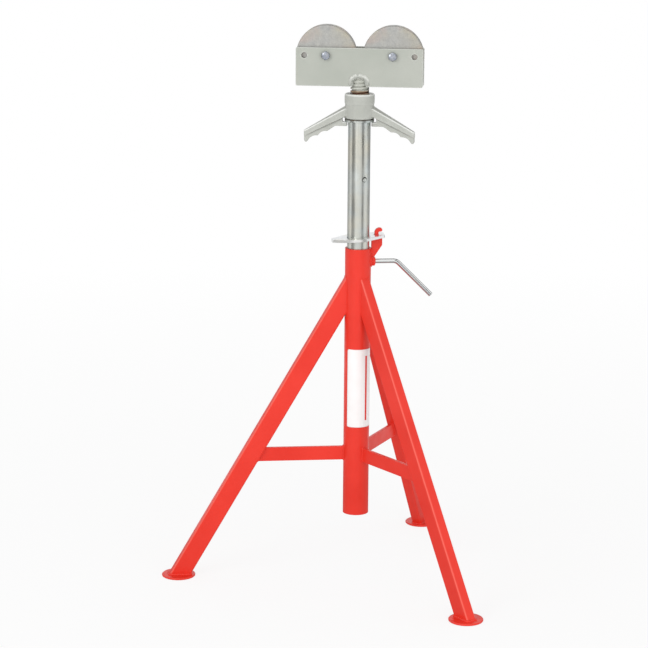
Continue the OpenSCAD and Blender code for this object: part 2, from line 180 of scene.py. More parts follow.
# Soft edge: the normal rounded over near an edge, and a mask that is 1 on the edge itself.
soft_edge, given, gives = new_group("soft_edge", {"Radius": 0.0008}, {"Normal": VECTOR, "Edge": FLOAT})
rounding = add_node(soft_edge, "ShaderNodeBevel", Radius=given["Radius"])
rounding.samples = 6
flat = soft_edge.nodes.new("ShaderNodeNewGeometry").outputs["Normal"]
facing = measure(soft_edge, "DOT_PRODUCT", rounding.outputs[0], flat)
soft_edge.links.new(rounding.outputs[0], gives["Normal"])
soft_edge.links.new(spread(soft_edge, facing, 0.995, 0.86), gives["Edge"])

# Sprayed coat: slow drifts of tint, a patchy haze on the gloss, and the peel's fine relief.
sprayed_coat, given, gives = new_group(
    "sprayed_coat", {"Drift": 9.0, "Haze": 55.0, "Peel": 620.0},
    {"Tint": FLOAT, "Dull": FLOAT, "Relief": FLOAT},
)
place = object_place(sprayed_coat)
for label, size, detail in (("Tint", "Drift", 3.0), ("Dull", "Haze", 4.0), ("Relief", "Peel", 2.0)):
    grain = noise(sprayed_coat, place, given[size], detail)
    sprayed_coat.links.new(spread(sprayed_coat, grain, 0.3, 0.7), gives[label])


def sprayed_paint(
    name, deep, full, edge_colour, dull, peel_height, edge_radius,
    edge_share=0.55, highlight_mask=None, highlight_colour=None, **values,
):
    """Enamel between a deep and a full tone, with its gloss between two roughnesses. It is paler on edges,
    where the coat is thin and a highlight is painted. Where asked, highlight_mask gives lines on which a
    highlight is painted in a second, paler colour."""
    made, tree, shader = new_material(name, IOR=1.42)
    coat = use_group(tree, sprayed_coat, **values)
    edge = use_group(tree, soft_edge, Radius=edge_radius)
    tone = blend_colour(tree, coat["Tint"], deep, full)
    if highlight_mask:
        tone = blend_colour(tree, highlight_mask(tree), tone, highlight_colour)
    # Paler edges: a thin coat there and a painted highlight.
    thin_coat_and_highlight = calc(tree, "MULTIPLY", edge["Edge"], edge_share)
    tone = blend_colour(tree, thin_coat_and_highlight, tone, edge_colour)
    normal = bump(tree, coat["Relief"], 0.35, peel_height, edge["Normal"])
    link_surface(tree, shader, tone, coat["Dull"], dull, normal)
    return made


def dress(material, *names):
    """Gives CAD nodes a material in place of their plain one."""
    for name in names:
        nodes[name].data.materials.clear()
        nodes[name].data.materials.append(material)


mounts = {mount["name"]: mount["pos_m"] for mount in frame["record"]["mounts"]}
mast_low, mast_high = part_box("mast_tube")
mast_r = (mast_high.x - mast_low.x) / 2
mast_top = mast_high.z
leg_drop, leg_depth, leg_width, leg_corner = 0.091, 0.035, 0.020, 0.003
stance = hypot(*mounts["foot_left_pad"][:2])
lean = atan2(stance - mast_r, mast_top - leg_drop)
leg_angles = {}
for side in ("left", "front", "rear"):
    foot_x, foot_y = mounts[f"foot_{side}_pad"][:2]
    leg_angles[side] = atan2(foot_y, foot_x)


def red_paint(name, highlight_mask=None):
    """The tripod's red enamel, with a painted highlight where highlight lines are given."""
    return sprayed_paint(
        name, deep=(0.73, 0.027, 0.013, 1), full=(0.81, 0.039, 0.022, 1), edge_colour=(0.93, 0.17, 0.13, 1),
        dull=(0.30, 0.42), peel_height=0.00006, edge_radius=0.0012,
        highlight_mask=highlight_mask, highlight_colour=(0.83, 0.115, 0.085, 1),
    )


def corner_highlight(angle):
    """A mask for a painted highlight along a leg's two outer round corners, for a leg at that angle round
    the
    mast: there both distances from the leg's axis, outwards and across its width, come near half of its
    section."""
    outward = (cos(angle) * cos(lean), sin(angle) * cos(lean), sin(lean))
    sideways = (-sin(angle), cos(angle), 0)

    def mask(tree):
        place = object_place(tree)
        deep = calc(tree, "SUBTRACT", measure(tree, "DOT_PRODUCT", place, outward), stance * cos(lean))
        wide = calc(tree, "ABSOLUTE", measure(tree, "DOT_PRODUCT", place, sideways))
        near = []
        for far, half in ((deep, leg_depth / 2), (wide, leg_width / 2)):
            near.append(spread(tree, far, half - leg_corner, half - 0.4 * leg_corner))
        return calc(tree, "MINIMUM", *near)

    return mask


red_enamel = red_paint("red_enamel")
dress(red_enamel, "mast_tube", "hook_plate", "clamp_nut")
for side, angle in leg_angles.items():
    # Each leg's enamel has a painted highlight along its outer corners.
    dress(red_paint(f"red_enamel_{side}", corner_highlight(angle)), f"leg_{side}")
    dress(red_enamel, f"brace_{side}", f"foot_{side}")

# Tripod welds
# Hand-laid fillet beads under the paint: round each leg's cope on the mast, round both ends of each
# brace, round each leg on its foot, beside the hook plate and round the clamp nut.


def grid_quads(index):
    """The quads between neighbours in a grid of point numbers."""
    return np.stack([index[:-1, :-1], index[:-1, 1:], index[1:, 1:], index[1:, :-1]], -1).reshape(-1, 4)


def grid_mesh(name, grids, wrap_rows=False):
    """Quads over grids of points (rows, columns, 3); columns close on themselves, rows only if asked."""
    points, quads, start = [], [], 0
    for grid in grids:
        rows, columns = grid.shape[:2]
        index = start + np.arange(rows * columns).reshape(rows, columns)
        if wrap_rows:
            index = np.vstack([index, index[:1]])
        quads.append(grid_quads(np.hstack([index, index[:, :1]])))
        points.append(grid.reshape(-1, 3))
        start += rows * columns
    mesh = bpy.data.meshes.new(name)
    mesh.from_pydata(np.vstack(points).tolist(), [], np.vstack(quads).tolist())
    soft = bmesh.new()
    soft.from_mesh(mesh)
    bmesh.ops.remove_doubles(soft, verts=soft.verts, dist=1e-7)
    bmesh.ops.recalc_face_normals(soft, faces=soft.faces)
    soft.to_mesh(mesh)
    soft.free()
    mesh.shade_smooth()
    return mesh


def new_object(name, data):
    """An object of that data in the scene."""
    made = bpy.data.objects.new(name, data)
    bpy.context.scene.collection.objects.link(made)
    return made


def piece(mesh, body, material):
    """A new object with a mesh and its name, which rides on a body and takes a finish."""
    made = new_object(mesh.name, mesh)
    mesh.materials.append(material)
    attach(made, body)
    return made


def unit(vectors):
    """Vectors scaled to length one."""
    return vectors / np.linalg.norm(vectors, axis=-1, keepdims=True)


def bead(path, out, radius, pitch, closed=True, squat=1.0, lumps=0.0):
    """A round or squat profile carried along a path, upright on out. Its radius swells and falls with every
    ripple of the weld pool, drifts slowly on top of that, grows lumps along and round it where asked, and
    on an open path closes to a point at both ends."""
    least, ripple_share, drift_share = 0.9, 0.16, 0.05
    step = np.roll(path, -1, 0) - np.roll(path, 1, 0) if closed else np.gradient(path, axis=0)
    along = unit(step)
    across = unit(np.cross(along, out))
    rise = np.cross(across, along)
    run = np.concatenate([[0], np.cumsum(np.linalg.norm(np.diff(path, axis=0), axis=1))])
    ripple = np.abs(np.sin(pi * run / pitch)) ** 0.7
    drift = np.sin(run / (2.3 * pitch)) + 0.6 * np.sin(run / (5.1 * pitch) + 1.0)
    size = radius * (least + ripple_share * ripple + drift_share * drift)
    if not closed:
        room = np.clip(np.minimum(run, run[-1] - run) / radius, 0, 1)
        size = size * np.sqrt(room * (2 - room))
    turn = np.linspace(0, 2 * pi, 20 if lumps else 10, endpoint=False)[None, :]
    run = run[:, None]
    coarse = np.sin(run / (0.30 * pitch) + 1.3 * np.sin(turn)) * np.sin(turn + run / (0.7 * pitch))
    fine = np.sin(run / (0.11 * pitch) + 2.0 * np.sin(turn)) * np.sin(2 * turn - run / (0.31 * pitch))
    size = (size[:, None] * (1 + lumps * (coarse + 0.5 * fine)))[..., None]
    turn = turn[..., None]
    return path[:, None] + size * (squat * np.cos(turn) * rise[:, None] + np.sin(turn) * across[:, None])


def evenly(x, y, count, endpoint):
    """A path of two coordinates as points spaced evenly along it."""
    run = np.concatenate([[0], np.cumsum(np.hypot(np.diff(x), np.diff(y)))])
    even = np.linspace(0, run[-1], count, endpoint=endpoint)
    return np.interp(even, run, x), np.interp(even, run, y)


def outline(width, height, corner, count):
    """Evenly spaced points round a rectangle with round corners, as two arrays."""
    steps = 9
    quarter = np.linspace(0, pi / 2, steps)
    angle = np.concatenate([quarter + k * pi / 2 for k in range(4)])
    middle_x = (width / 2 - corner) * np.repeat([1, -1, -1, 1], steps)
    middle_y = (height / 2 - corner) * np.repeat([1, 1, -1, -1], steps)
    x, y = middle_x + corner * np.cos(angle), middle_y + corner * np.sin(angle)
    return evenly(np.append(x, x[0]), np.append(y, y[0]), count, endpoint=False)


def together(*parts):
    """Points from their X, Y and Z, where a plain number holds for every point."""
    return np.stack(np.broadcast_arrays(*parts), -1)


def turned(points, angle):
    """Points turned about the mast's axis."""
    c, s = cos(angle), sin(angle)
    return points @ np.array([[c, s, 0], [-s, c, 0], [0, 0, 1]])


def leg_points(u, v, t):
    """Points of a leg in its own upright plane: u and v across its section, t along its axis."""
    return together(stance + u * cos(lean) - t * sin(lean), v, u * sin(lean) + t * cos(lean))


# Each bead's radius and the pitch of its ripples.
cope_bead, sole_bead, brace_bead = (0.0013, 0.0040), (0.0026, 0.0052), (0.0018, 0.0036)
hook_bead, clamp_bead = (0.0024, 0.0034), (0.0023, 0.0042)

foot_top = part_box("foot_left")[1].z
brace_low, brace_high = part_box("brace_left")
brace_middle, brace_height = (brace_low.z + brace_high.z) / 2, brace_high.z - brace_low.z
brace_thick, brace_corner = 0.006, 0.001

# The beads' paths for a leg that points along +X: where the outline of its section meets the mast's round
# and the foot's top, and where the brace's outline meets the mast and the leg's inner face.
u, v = outline(leg_depth, leg_width, leg_corner, 220)
cope = leg_points(u, v, (stance + u * cos(lean) - np.sqrt(mast_r**2 - v**2)) / sin(lean))
cope_out = unit(together(cope[:, 0], cope[:, 1], 0.0))
sole = leg_points(u, v, (foot_top - u * sin(lean)) / cos(lean))
by, bz = outline(brace_thick, brace_height, brace_corner, 130)
bz = brace_middle + bz
at_mast = together(np.sqrt(mast_r**2 - by**2), by, bz)
at_leg = together(stance - bz * np.tan(lean) - leg_depth / 2 / cos(lean), by, bz)

for side, angle in leg_angles.items():
    beads = [
        bead(cope, cope_out, *cope_bead),
        bead(sole, (0.0, 0.0, 1.0), *sole_bead),
        bead(at_mast, (1.0, 0.0, 0.0), *brace_bead),
        bead(at_leg, (-cos(lean), 0.0, -sin(lean)), *brace_bead),
    ]
    welds = grid_mesh(f"leg_welds_{side}", [turned(grid, angle) for grid in beads], wrap_rows=True)
    piece(welds, "tripod", red_enamel)

lock_angle = leg_angles["left"] + pi
hook_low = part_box("hook_plate")[0].z
hook_thick, hook_bead_inset, hook_bead_aside, hook_bead_proud = 0.006, 0.001, 0.0006, 0.0004
rise = np.linspace(hook_low + hook_bead_inset, mast_top - hook_bead_inset, 60)
lock_beads = []
for hand in (-1, 1):
    edge_y = hand * (hook_thick / 2 + hook_bead_aside)
    seam = together(np.sqrt(mast_r**2 - edge_y**2) + hook_bead_proud, edge_y, rise)
    lock_beads.append(bead(seam, (1.0, 0.0, 0.0), *hook_bead, closed=False))
welds = grid_mesh("hook_welds", [turned(grid, lock_angle) for grid in lock_beads])
piece(welds, "tripod", red_enamel)

nut_low, nut_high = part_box("clamp_nut")
nut_middle, nut_ring = (nut_low.z + nut_high.z) / 2, 0.0089
turn = np.linspace(0, 2 * pi, 120, endpoint=False)
ny, nz = nut_ring * np.cos(turn), nut_ring * np.sin(turn)
nut_seam = together(np.sqrt(mast_r**2 - ny**2), ny, nut_middle + nz)
nut_bead = bead(nut_seam, (1.0, 0.0, 0.0), *clamp_bead)
welds = grid_mesh("clamp_nut_weld", [turned(nut_bead, lock_angle)], wrap_rows=True)
piece(welds, "tripod", red_enamel)

# Mast label
# A white vinyl label, die-cut with round corners and printed with one red rule. It is stuck round the
# front of the mast, over the paint.


def axes(tree, vector):
    """The X, Y and Z of a vector."""
    return add_node(tree, "ShaderNodeSeparateXYZ", Vector=vector).outputs


def about_z(radius, turn, z):
    """Points at a radius and an angle about the Z axis and at a height, spread to one grid."""
    return together(radius * np.cos(turn), radius * np.sin(turn), z)


rule_turn, rule_half_turn, rule_low, rule_high = radians(-40), radians(5), 0.3025, 0.4262
rule_middle, rule_half = (rule_low + rule_high) / 2, (rule_high - rule_low) / 2
vinyl, tree, shader = new_material("white_vinyl", IOR=1.45)
coat = use_group(tree, sprayed_coat, Drift=26.0, Haze=90.0, Peel=900.0)
edge = use_group(tree, soft_edge, Radius=0.0004)
at = axes(tree, object_place(tree))
turn_at = calc(tree, "ARCTAN2", at["Y"], at["X"])
aside = calc(tree, "ABSOLUTE", calc(tree, "SUBTRACT", turn_at, rule_turn))
above = calc(tree, "ABSOLUTE", calc(tree, "SUBTRACT", at["Z"], rule_middle))
rule = calc(
    tree, "MULTIPLY", spread(tree, aside, rule_half_turn, rule_half_turn + 0.008, 1.0, 0.0),
    spread(tree, above, rule_half, rule_half + 0.0002, 1.0, 0.0),
)
tone = blend_colour(tree, coat["Tint"], (0.87, 0.87, 0.86, 1), (0.93, 0.93, 0.93, 1))
tone = blend_colour(tree, rule, tone, (0.75, 0.035, 0.025, 1))
normal = bump(tree, coat["Relief"], 0.2, 0.00003, edge["Normal"])
link_surface(tree, shader, tone, coat["Dull"], (0.32, 0.46), normal)

# The label's face is a grid of heights and angles just off the mast's round. Near its two ends, each row
# is as wide as the arc of the round corners leaves it.
label_low, label_high, label_middle = 0.2893, 0.4390, radians(-67)
label_width, label_corner, label_stand, label_thick = 0.054, 0.003, 0.00025, 0.0002
label_rows, label_columns = 90, 40
height = np.linspace(label_low, label_high, label_rows)[:, None]
from_end = np.clip(np.minimum(height - label_low, label_high - height), 0, label_corner)
half = label_width / 2 - label_corner + np.sqrt(label_corner**2 - (label_corner - from_end) ** 2)
angle = label_middle + np.linspace(-1, 1, label_columns) * half / mast_r
face = about_z(mast_r + label_stand, angle, height)
index = np.arange(label_rows * label_columns).reshape(label_rows, label_columns)
mesh = bpy.data.meshes.new("mast_label")
mesh.from_pydata(face.reshape(-1, 3).tolist(), [], grid_quads(index).tolist())
mesh.shade_smooth()
label = piece(mesh, "tripod", vinyl)
backing = label.modifiers.new("vinyl_thickness", "SOLIDIFY")
backing.thickness, backing.offset = label_thick, -1.0

# Lock ring and clamp rod
# The ring is punched from plate and the rod cold-bent from round bar. Both are zinc plated and a little
# clouded, the ring with a satin face and the rod with a bright one.

# Drawn metal: long streaks along one axis, flecks of crystal, a slow cloud in the plating, and places
# where its tone is warm.
drawn_metal, given, gives = new_group(
    "drawn_metal", {"Across": 260.0, "Along": 5.0, "Fleck": 220.0, "Cloud": 22.0},
    {"Streak": FLOAT, "Fleck": FLOAT, "Cloud": FLOAT, "Warm": FLOAT},
)
place = object_place(drawn_metal)
pull = add_node(drawn_metal, "ShaderNodeCombineXYZ", X=given["Across"], Y=given["Across"], Z=given["Along"])
stretched = drawn_metal.nodes.new("ShaderNodeVectorMath")
stretched.operation = "MULTIPLY"
drawn_metal.links.new(place, stretched.inputs[0])
drawn_metal.links.new(pull.outputs[0], stretched.inputs[1])
crystal = add_node(drawn_metal, "ShaderNodeTexVoronoi", Vector=place, Scale=given["Fleck"])
cloud = noise(drawn_metal, place, given["Cloud"], 4.0)
shifted = add_node(drawn_metal, "ShaderNodeMapping", Vector=place, Location=(0.37, 0.11, 0.53))
patch = noise(drawn_metal, shifted.outputs[0], given["Cloud"], 3.0)
drawn_metal.links.new(noise(drawn_metal, stretched.outputs[0], 1.0, 3.0), gives["Streak"])
drawn_metal.links.new(crystal.outputs["Color"], gives["Fleck"])
drawn_metal.links.new(spread(drawn_metal, cloud, 0.3, 0.7), gives["Cloud"])
drawn_metal.links.new(spread(drawn_metal, patch, 0.46, 0.66, 0.0, 0.7), gives["Warm"])


def plated_metal(name, dark, light, warm, gloss, edge_radius, streak=0.3, **values):
    """Bare plated metal whose tone runs from dark to light with its streaks, flecks and clouds, and
    drifts to a warm tone in places."""
    made, tree, shader = new_material(name, Metallic=1.0)
    grain = use_group(tree, drawn_metal, **values)
    edge = use_group(tree, soft_edge, Radius=edge_radius)
    share = calc(tree, "MULTIPLY", grain["Streak"], streak)
    for label, weight in (("Fleck", 0.2), ("Cloud", 0.5)):
        share = calc(tree, "MULTIPLY_ADD", grain[label], weight, share)
    tone = blend_colour(tree, share, dark, light)
    tone = blend_colour(tree, grain["Warm"], tone, warm)
    normal = bump(tree, grain["Streak"], 0.10, 0.00004, edge["Normal"])
    link_surface(tree, shader, tone, grain["Cloud"], gloss, normal)
    return made


ring_zinc = plated_metal(
    "ring_zinc", dark=(0.80, 0.82, 0.83, 1), light=(0.95, 0.96, 0.97, 1), warm=(0.90, 0.88, 0.82, 1),
    gloss=(0.30, 0.40), edge_radius=0.0008, Across=40.0, Along=40.0, Fleck=420.0, Cloud=30.0,
)
dress(ring_zinc, "lock_ring")
bright_zinc = plated_metal(
    "bright_zinc", dark=(0.72, 0.74, 0.75, 1), light=(0.92, 0.94, 0.95, 1), warm=(0.84, 0.83, 0.79, 1),
    gloss=(0.12, 0.18), edge_radius=0.0006, streak=0.1, Across=40.0, Along=40.0, Fleck=120.0, Cloud=30.0,
)
dress(bright_zinc, "clamp_rod")

# Extension tube, its collar and the thrust washer
# Drawn tube, hot-dip galvanised, with fine streaks along its length and a faint spangle. A collar is
# welded on its top end, and a loose flat washer of oiled steel lies on that, painted dark as the shade
# under the nut's hub.

galvanised = plated_metal(
    "galvanised", dark=(0.395, 0.43, 0.42, 1), light=(0.735, 0.785, 0.775, 1), warm=(0.73, 0.69, 0.575, 1),
    gloss=(0.26, 0.38), edge_radius=0.0005, streak=0.6, Across=300.0, Along=4.0, Fleck=160.0, Cloud=16.0,
)
dress(galvanised, "extension_tube", "tube_collar")
# The washer's oiled steel is painted dark as the shade under the nut's hub.
oiled_steel_and_shade = plated_metal(
    "oiled_steel_and_shade", dark=(0.14, 0.14, 0.13, 1), light=(0.34, 0.335, 0.31, 1), warm=(0.27, 0.22, 0.16, 1),
    gloss=(0.28, 0.42), edge_radius=0.0004, Across=120.0, Along=120.0, Fleck=500.0, Cloud=60.0,
)
dress(oiled_steel_and_shade, "thrust_washer")

# Pin in the tube's side hole
# The end of a short turned pin, plated with the tube, that rests low and to one side in its hole, so a
# dark crescent of the bore shows above it.

tube_low, tube_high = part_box("extension_tube")
tube_r = (tube_high.x - tube_low.x) / 2
pin_r, pin_turn, pin_aside, pin_z = 0.0037, radians(-54), 0.0008, 0.7571
pin_sunk, pin_dome, pin_long = 0.0002, 0.0005, 0.0035

# Rings about the hole's axis that sink with the square of their radius, and the same dome further in.
ring_at, turn = np.linspace(0, 1, 14)[:, None], np.linspace(0, 2 * pi, 49)
depth = tube_r - pin_sunk - pin_dome * ring_at**2
dome = together(depth, pin_aside + pin_r * ring_at * np.cos(turn), pin_z + pin_r * ring_at * np.sin(turn))
back = dome[::-1] - [pin_long, 0, 0]
mesh = grid_mesh("side_hole_pin", [turned(np.concatenate([dome, back]), pin_turn)])
piece(mesh, "extension", galvanised)

# Jack nut
# Sand-cast in one piece with its wings, bored and tapped, then sprayed grey-green. Its edges are round
# from the mould and the sand's grain shows through the paint; a highlight is painted pale on its upper
# edges, and painted shade darkens its hollows.

cast_paint, tree, shader = new_material("cast_grey_paint", IOR=1.5)
coat = use_group(tree, sprayed_coat, Drift=30.0, Haze=120.0, Peel=420.0)
edge = use_group(tree, soft_edge, Radius=0.0006)
sand = noise(tree, object_place(tree), 330.0, 5.0, 0.65)
surface = tree.nodes.new("ShaderNodeNewGeometry").outputs
proud, upward = surface["Pointiness"], axes(tree, surface["Normal"])["Z"]
tone = blend_colour(tree, coat["Tint"], (0.405, 0.417, 0.378, 1), (0.475, 0.485, 0.448, 1))
pitted = spread(tree, sand, 0.3, 0.5, 0.25, 0.0)
tone = blend_colour(tree, pitted, tone, (0.30, 0.31, 0.285, 1))
# A painted highlight, pale on convex edges that face upwards.
upper_edge_highlight = calc(
    tree, "MULTIPLY", spread(tree, proud, 0.503, 0.525, 0.0, 0.9),
    spread(tree, upward, -0.1, 0.35, 0.1, 1.0),
)
tone = blend_colour(tree, upper_edge_highlight, tone, (0.84, 0.85, 0.82, 1))
# Painted shade darkens the hollows and creases.
hollow_shade = spread(tree, proud, 0.496, 0.47, 0.0, 0.6)
tone = blend_colour(tree, hollow_shade, tone, (0.18, 0.185, 0.17, 1))
normal = bump(tree, sand, 0.5, 0.0004, edge["Normal"])
link_surface(tree, shader, tone, coat["Dull"], (0.28, 0.42), normal)

# The CAD nut's own mesh as one closed skin with the mould's radii on its edges.
skin_voxel, skin_passes = 0.0009, 10
mesh = nodes["jack_nut"].data.copy()
mesh.name = "jack_nut_cast"
mesh.materials.clear()
cast_nut = piece(mesh, "jack_nut", cast_paint)
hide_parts("jack_nut")
cast_nut.modifiers.new("one_skin", "WELD").merge_threshold = 0.00001
skin = cast_nut.modifiers.new("mould_skin", "REMESH")
skin.mode, skin.voxel_size, skin.use_smooth_shade = "VOXEL", skin_voxel, True
mould = cast_nut.modifiers.new("mould_radii", "SMOOTH")
mould.factor, mould.iterations = 0.5, skin_passes

# Jack screw
# Turned steel bar with a coarse right-hand trapezoidal thread and a domed end. The top turns are under
# the head's paint; below them the thread is bare, its grooves brown with grease and its crests rubbed
# paler, with a painted highlight on them.


def threaded_bar(crest, root, pitch, low, high, dome, columns=72, filled=0.0):
    """A screw about +Z as one closed skin. Each row follows the helix, so z rises by one pitch round it,
    and takes its radius from the thread's profile of crest, flank, root and flank, held inside a round
    dome at the upper end. Without a dome the groove runs out there; a flat closes the lower end. Over
    one pitch below the dome, a share of the groove fills up with weld."""
    shape_at = np.array([0.0, 0.12, 0.24, 0.366, 0.43, 0.5, 0.56, 0.62, 0.683, 0.75, 0.81, 0.866])
    groove_at = np.array([0.0, 0.0, 0.0, 0.0, 0.48, 1.0, 1.0, 1.0, 1.0, 0.63, 0.31, 0.0])
    turns = int((high + dome - low) / pitch) + 2
    along = (np.arange(-1, turns)[:, None] + shape_at).ravel()
    turn = np.linspace(0, 2 * pi, columns + 1)
    z = low + pitch * (along[:, None] + turn / (2 * pi))
    groove = np.tile(groove_at, turns + 1)[:, None] * np.clip(2.5 * (z - low) / pitch, 0, 1)
    if dome:
        groove = groove * (1 - filled * np.clip((z - high) / pitch + 1, 0, 1))
        z = np.clip(z, low, high + dome)
        cap = crest * np.sqrt(1 - np.clip((z - high) / dome, 0, 1) ** 2)
    else:
        groove = groove * np.clip(2.5 * (high - z) / pitch, 0, 1)
        z = np.clip(z, low, high)
        cap = crest
    radius = np.minimum(crest - (crest - root) * groove, cap)
    end = np.stack([np.zeros(columns + 1), np.full(columns + 1, root)])
    return about_z(np.vstack([end, radius]), turn, np.vstack([0 * end + low - 0.3 * pitch, z]))


plate_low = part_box("head_plate_front")[0]
screw_low, screw_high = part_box("jack_screw")
screw_r = (screw_high.x - screw_low.x) / 2
thread_pitch, thread_depth, thread_start = 0.006, 0.0032, 0.0038
dome_rise, painted_turns, smear_reach, smear_edge = 0.007, 0.0077, 0.004, 0.0006

screw_finish, tree, shader = new_material("screw_paint_and_grease", IOR=1.5)
coat = use_group(tree, sprayed_coat, Drift=60.0, Haze=180.0, Peel=700.0)
edge = use_group(tree, soft_edge, Radius=0.0004)
place = object_place(tree)
at = axes(tree, place)
smear = calc(tree, "MULTIPLY_ADD", noise(tree, place, 160.0, 3.0), smear_reach, at["Z"])
paint_line = plate_low.z - painted_turns + smear_reach / 2
bare = spread(tree, smear, paint_line - smear_edge, paint_line + smear_edge, 1.0, 0.0)
level = add_node(tree, "ShaderNodeCombineXYZ", X=at["X"], Y=at["Y"])
from_axis = measure(tree, "LENGTH", level.outputs[0])
crest = spread(tree, from_axis, screw_r - 0.7 * thread_depth, screw_r - 0.0002)
paint = blend_colour(tree, coat["Tint"], (0.44, 0.45, 0.40, 1), (0.53, 0.54, 0.49, 1))
groove = blend_colour(tree, coat["Dull"], (0.085, 0.026, 0.014, 1), (0.22, 0.085, 0.045, 1))
# The crests are paler: rubbed steel and a painted highlight.
grease_and_crest_highlight = blend_colour(tree, calc(tree, "MULTIPLY", crest, 0.65), groove, (0.44, 0.34, 0.23, 1))
tone = blend_colour(tree, bare, paint, grease_and_crest_highlight)
normal = bump(tree, coat["Relief"], 0.3, 0.0001, edge["Normal"])
link_surface(tree, shader, tone, coat["Dull"], (0.34, 0.5), normal)
tree.links.new(calc(tree, "MULTIPLY", bare, 0.55), shader["Metallic"])

dome_low = plate_low.z + dome_rise
bar = threaded_bar(
    screw_r, screw_r - thread_depth, thread_pitch, low=screw_low.z + thread_start, high=dome_low,
    dome=screw_high.z - plate_low.z - dome_rise, filled=0.3,
)
screw = piece(grid_mesh("jack_screw_threaded", [bar]), "head", screw_finish)
screw.data.set_sharp_from_angle(angle=radians(38))
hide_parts("jack_screw")

# Head plates and their welds
# Two sheared steel plates with drilled holes, notched over the screw's domed end and welded to it all
# round the notch with a lumpy bead, then sprayed grey-green. A pale highlight is painted on the bead's
# crown and along the plates' edges.

# The plates' pale edge colour is a painted highlight along their edges.
plate_paint = sprayed_paint(
    "grey_green_paint", deep=(0.385, 0.405, 0.36, 1), full=(0.435, 0.45, 0.405, 1),
    edge_colour=(0.78, 0.79, 0.75, 1), dull=(0.36, 0.5), peel_height=0.00005, edge_radius=0.0028,
    edge_share=0.85, Drift=13.0,
)
dress(plate_paint, "head_plate_front", "head_plate_rear")

notch_r, notch_rise = 0.0135, 0.004
weld_paint, tree, shader = new_material("grey_green_weld", IOR=1.42)
coat = use_group(tree, sprayed_coat, Drift=160.0, Peel=500.0)
edge = use_group(tree, soft_edge, Radius=0.0003)
about_notch = add_node(
    tree, "ShaderNodeMapping", Vector=object_place(tree),
    Location=(0, 0, -plate_low.z - notch_rise), Scale=(1, 0, 1),
).outputs[0]
far, upward = measure(tree, "LENGTH", about_notch), axes(tree, about_notch)["Z"]
# A painted highlight on the upper part of the arch's bead, as if lit from above.
crown_highlight = calc(
    tree, "MULTIPLY", spread(tree, far, 1.05 * notch_r, 1.3 * notch_r),
    spread(tree, upward, 0.2 * notch_r, 0.85 * notch_r),
)
crown_highlight = calc(tree, "MULTIPLY", crown_highlight, spread(tree, coat["Tint"], 0.0, 1.0, 0.45, 1.0))
tone = blend_colour(tree, coat["Tint"], (0.34, 0.355, 0.32, 1), (0.45, 0.46, 0.42, 1))
tone = blend_colour(tree, crown_highlight, tone, (0.68, 0.69, 0.65, 1))
normal = bump(tree, coat["Relief"], 0.35, 0.00012, edge["Normal"])
link_surface(tree, shader, tone, coat["Dull"], (0.26, 0.40), normal)

# The notch's arch, up one side, round two corners and down the other, and the beads along it.
arch_top, arch_corner, arch_foot, count = notch_rise + notch_r, 0.0095, 0.001, 180
toe_bead, toe_wide, toe_high, toe_sunk = (0.0038, 0.0066), 1.12, 1.08, 0.0010
root_bead, root_wide, root_high, root_sunk = (0.0031, 0.0051), 0.96, 0.98, 0.0022
quarter = np.linspace(0, pi / 2, 30)
arch_x = notch_r - arch_corner + arch_corner * np.cos(quarter)
arch_x = np.concatenate([[notch_r], arch_x, -arch_x[::-1], [-notch_r]])
arch_z = arch_top - arch_corner + arch_corner * np.sin(quarter)
arch_z = np.concatenate([[arch_foot], arch_z, arch_z[::-1], [arch_foot]])
arch_x, arch_z = evenly(arch_x, arch_z, count, endpoint=True)
step = np.arange(count)
for name, hand in (("front", -1), ("rear", 1)):
    low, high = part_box(f"head_plate_{name}")
    face_y = low.y if hand < 0 else high.y
    out = (0.0, float(hand), 0.0)
    wander = 1 + 0.03 * np.sin(0.09 * step + hand) + 0.015 * np.sin(0.17 * step)
    toe = together(
        arch_x * toe_wide * wander, face_y - hand * toe_sunk, plate_low.z + arch_z * toe_high * wander
    )
    root = together(arch_x * root_wide, face_y - hand * root_sunk, plate_low.z + arch_z * root_high)
    beads = [
        bead(toe, out, *toe_bead, closed=False, squat=0.75, lumps=0.26),
        bead(root, out, *root_bead, closed=False, lumps=0.2),
    ]
    piece(grid_mesh(f"head_weld_{name}", beads), "head", weld_paint)

# Rollers and bushes
# Turned steel discs with a chamfered rim, zinc plated and yellow-passivated, so their faces are grey
# with drifting straw and pink tints over faint lathe rings. Each runs on a sintered bronze bush.

roller_low, roller_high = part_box("roller_left")
axle_z, roller_r = (roller_low.z + roller_high.z) / 2, (roller_high.z - roller_low.z) / 2


